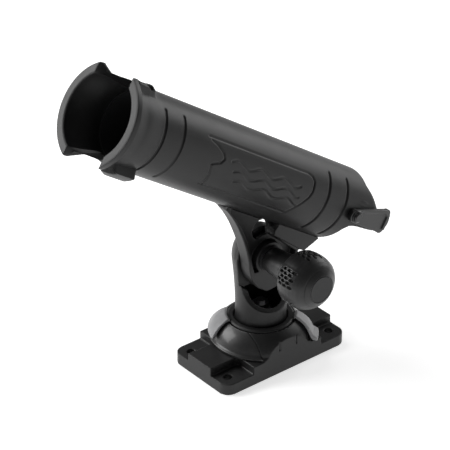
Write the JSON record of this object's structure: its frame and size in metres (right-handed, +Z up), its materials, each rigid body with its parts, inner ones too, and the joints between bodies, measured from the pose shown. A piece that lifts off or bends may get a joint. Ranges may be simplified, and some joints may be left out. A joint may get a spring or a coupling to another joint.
{
  "type": "fishing rod holder",
  "caption": "Boat fishing rod holder: a notched, flared tube on a tilting saddle and one-armed yoke, clamped by a knob and plugged into a quick-release deck socket.",
  "frame": {"origin": "centre of the base's underside", "axes": "+X along the base's long side, away from the tube's mouth; +Z up from the deck; the clamp knob faces -Y"},
  "size_m": [0.2159, 0.0864, 0.2267],
  "materials": {
    "black_nylon": "fine-textured glass-filled nylon",
    "gloss_black": "polished black moulding",
    "knob_black": "satin, with grip dimples",
    "ring_grey": "satin dark grey moulding",
    "liner_rubber": "matt soft liner",
    "seal_rubber": "o-ring rubber",
    "stainless": "passivated stainless steel",
    "brass": "turned brass"
  },
  "bodies": {
    "base": {"base_plate": "black_nylon", "dome_shroud": "gloss_black", "under_cover": "black_nylon", "cover_screws": "stainless", "shroud_screws": "stainless", "ring_seal": "seal_rubber"},
    "ring": {"lock_ring": "ring_grey"},
    "swivel": {"yoke": "black_nylon", "star_spigot": "black_nylon", "spigot_bolt": "stainless", "spigot_nut": "stainless", "spigot_washer": "stainless", "arm_ratchet": "black_nylon", "pivot_bolt": "stainless", "separating_spring": "stainless"},
    "cradle": {"saddle": "black_nylon", "saddle_ratchet": "black_nylon", "rod_tube": "black_nylon", "tube_liner": "liner_rubber"},
    "washer": {"thrust_washer": "black_nylon"},
    "knob": {"knob_body": "knob_black", "knob_insert": "brass", "knob_cap": "black_nylon"},
    "latch": {"latch_lever": "gloss_black", "latch_pin": "gloss_black", "latch_washer": "black_nylon", "butt_cam": "black_nylon", "cam_clip": "stainless"}
  },
  "joints": [
    {"name": "lock_ring_turn", "type": "hinge", "parent": "base", "child": "ring", "pos_m": [0, 0, 0.027], "axis": [0, 0, 1], "range_deg": [0, 28]},
    {"name": "yoke_swivel", "type": "hinge", "parent": "base", "child": "swivel", "pos_m": [0, 0, 0.02], "axis": [0, 0, 1], "continuous": true},
    {"name": "tube_tilt", "type": "hinge", "parent": "swivel", "child": "cradle", "pos_m": [0, 0, 0.072], "axis": [0, 1, 0], "range_deg": [-60, 25]},
    {"name": "washer_travel", "type": "slide", "parent": "swivel", "child": "washer", "axis": [0, -1, 0], "range_m": [0, 0.0025]},
    {"name": "knob_turn", "type": "hinge", "parent": "washer", "child": "knob", "pos_m": [0, -0.04, 0.072], "axis": [0, -1, 0], "range_deg": [0, 720]},
    {"name": "latch_turn", "type": "hinge", "parent": "cradle", "child": "latch", "pos_m": [0.05253, -0.026, 0.09043], "axis": [0, -1, 0], "range_deg": [0, 40]}
  ],
  "couplings": [
    {"joint": "washer_travel", "follows": "knob_turn", "m_per_rad": 0.00019894}
  ]
}
